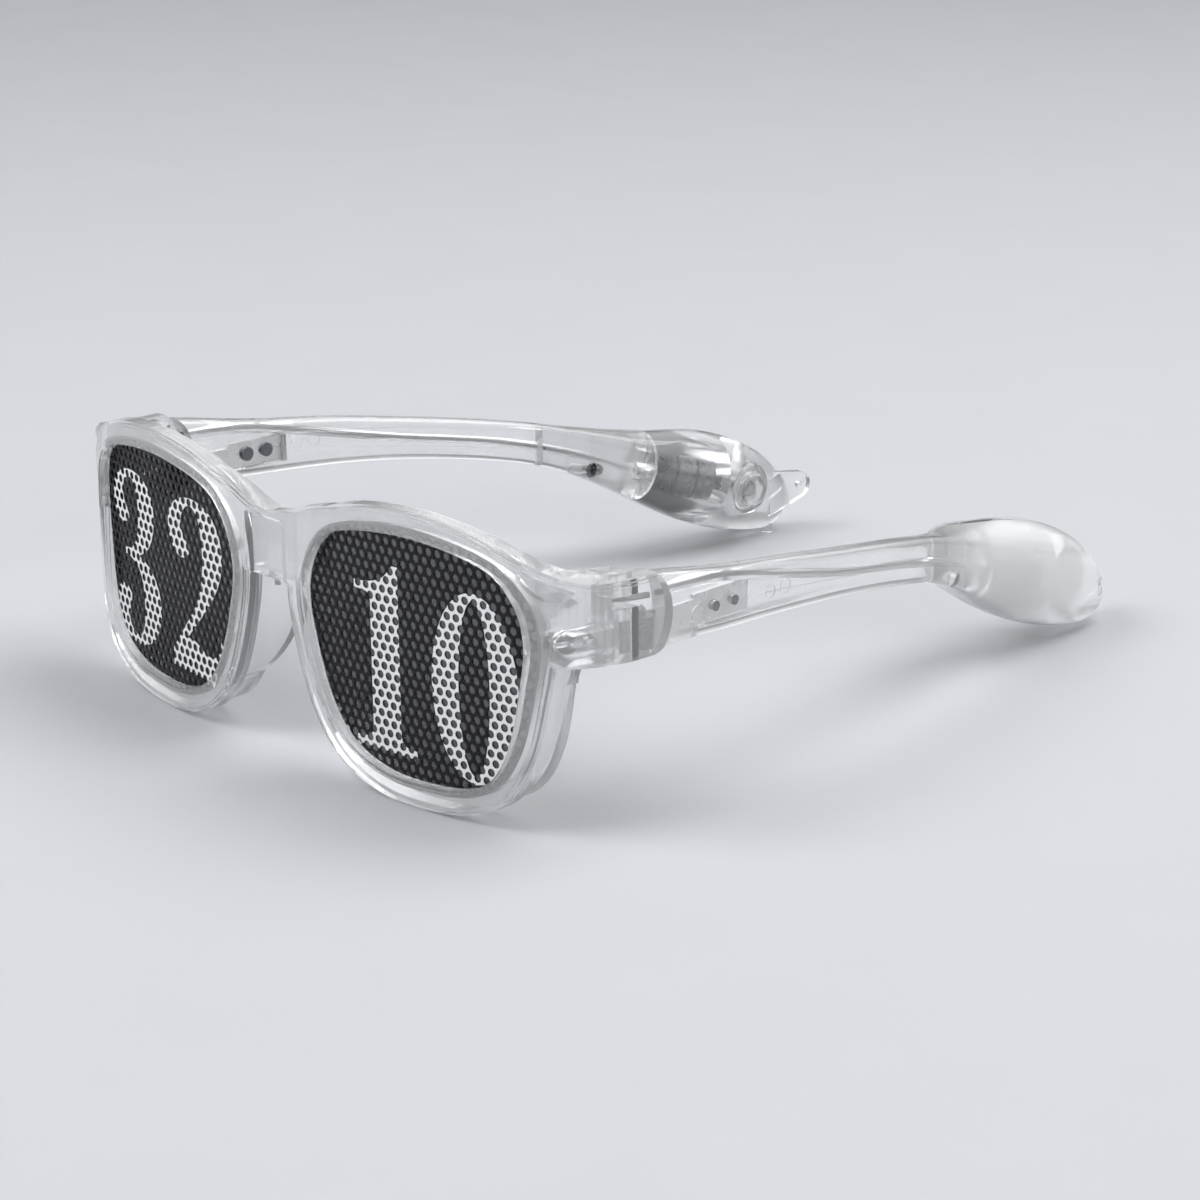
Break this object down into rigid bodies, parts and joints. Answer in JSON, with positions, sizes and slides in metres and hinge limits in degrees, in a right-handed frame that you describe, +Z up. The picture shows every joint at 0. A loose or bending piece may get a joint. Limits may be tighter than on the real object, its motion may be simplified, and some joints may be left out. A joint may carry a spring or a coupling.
{
  "type": "led sunglasses",
  "caption": "Clear wraparound-front sunglasses with perforated printed lenses, lit end pieces, and folding temples whose bulbous tips hold cells and a push button.",
  "frame": {"origin": "middle of the bounding box's base: the plane that the two rims and the two tip feet stand on", "axes": "+Y runs back along the open temples, +X to the wearer's left, +Z up"},
  "size_m": [0.1396, 0.1702, 0.0512],
  "materials": {
    "clear_plastic": "clear moulded, polished",
    "clear_cover": "clear moulded, polished",
    "lens_plastic": "smoke tinted, smooth",
    "printed_film": "perforated film, printed black and white",
    "led_resin": "water-clear resin",
    "wire_insulation": "smooth insulation",
    "hinge_metal": "plain",
    "screw_steel": "plain",
    "cell_steel": "plain",
    "contact_metal": "nickel-plated thin sheet",
    "board": "white coated laminate with its switch",
    "button_plastic": "clear moulded"
  },
  "bodies": {
    "front": {"front_frame": "clear_plastic", "rear_frame": "clear_plastic", "lens_left": "lens_plastic", "lens_right": "lens_plastic", "film_left": "printed_film", "film_right": "printed_film", "led_left": "led_resin", "led_right": "led_resin", "front_wire_left": "wire_insulation", "front_wire_right": "wire_insulation", "front_hinge_left": "hinge_metal", "front_hinge_right": "hinge_metal", "hinge_screw_left": "screw_steel", "hinge_screw_right": "screw_steel"},
    "left_temple": {"temple_left": "clear_plastic", "temple_hinge_left": "hinge_metal", "hinge_rivets_left": "screw_steel", "battery_cover_left": "clear_cover", "cover_screw_left": "screw_steel", "button_cells_left": "cell_steel", "contact_plate_left": "contact_metal", "contact_spring_left": "contact_metal", "driver_board_left": "board", "temple_wire_left": "wire_insulation"},
    "left_button": {"push_button_left": "button_plastic"},
    "right_temple": {"temple_right": "clear_plastic", "temple_hinge_right": "hinge_metal", "hinge_rivets_right": "screw_steel", "battery_cover_right": "clear_cover", "cover_screw_right": "screw_steel", "button_cells_right": "cell_steel", "contact_plate_right": "contact_metal", "contact_spring_right": "contact_metal", "driver_board_right": "board", "temple_wire_right": "wire_insulation"},
    "right_button": {"push_button_right": "button_plastic"}
  },
  "joints": [
    {"name": "left_temple_fold", "type": "hinge", "parent": "front", "child": "left_temple", "pos_m": [0.064, -0.05799, 0.03294], "axis": [0, -0.0139, 0.9999], "range_deg": [0, 82]},
    {"name": "right_temple_fold", "type": "hinge", "parent": "front", "child": "right_temple", "pos_m": [-0.064, -0.05799, 0.03294], "axis": [0, 0.0139, -0.9999], "range_deg": [0, 74]},
    {"name": "left_button_press", "type": "slide", "parent": "left_temple", "child": "left_button", "axis": [1, 0, 0], "range_m": [0, 0.0008], "stiffness_N_per_m": 800, "springref_m": -0.0005},
    {"name": "right_button_press", "type": "slide", "parent": "right_temple", "child": "right_button", "axis": [-1, 0, 0], "range_m": [0, 0.0008], "stiffness_N_per_m": 800, "springref_m": -0.0005}
  ]
}
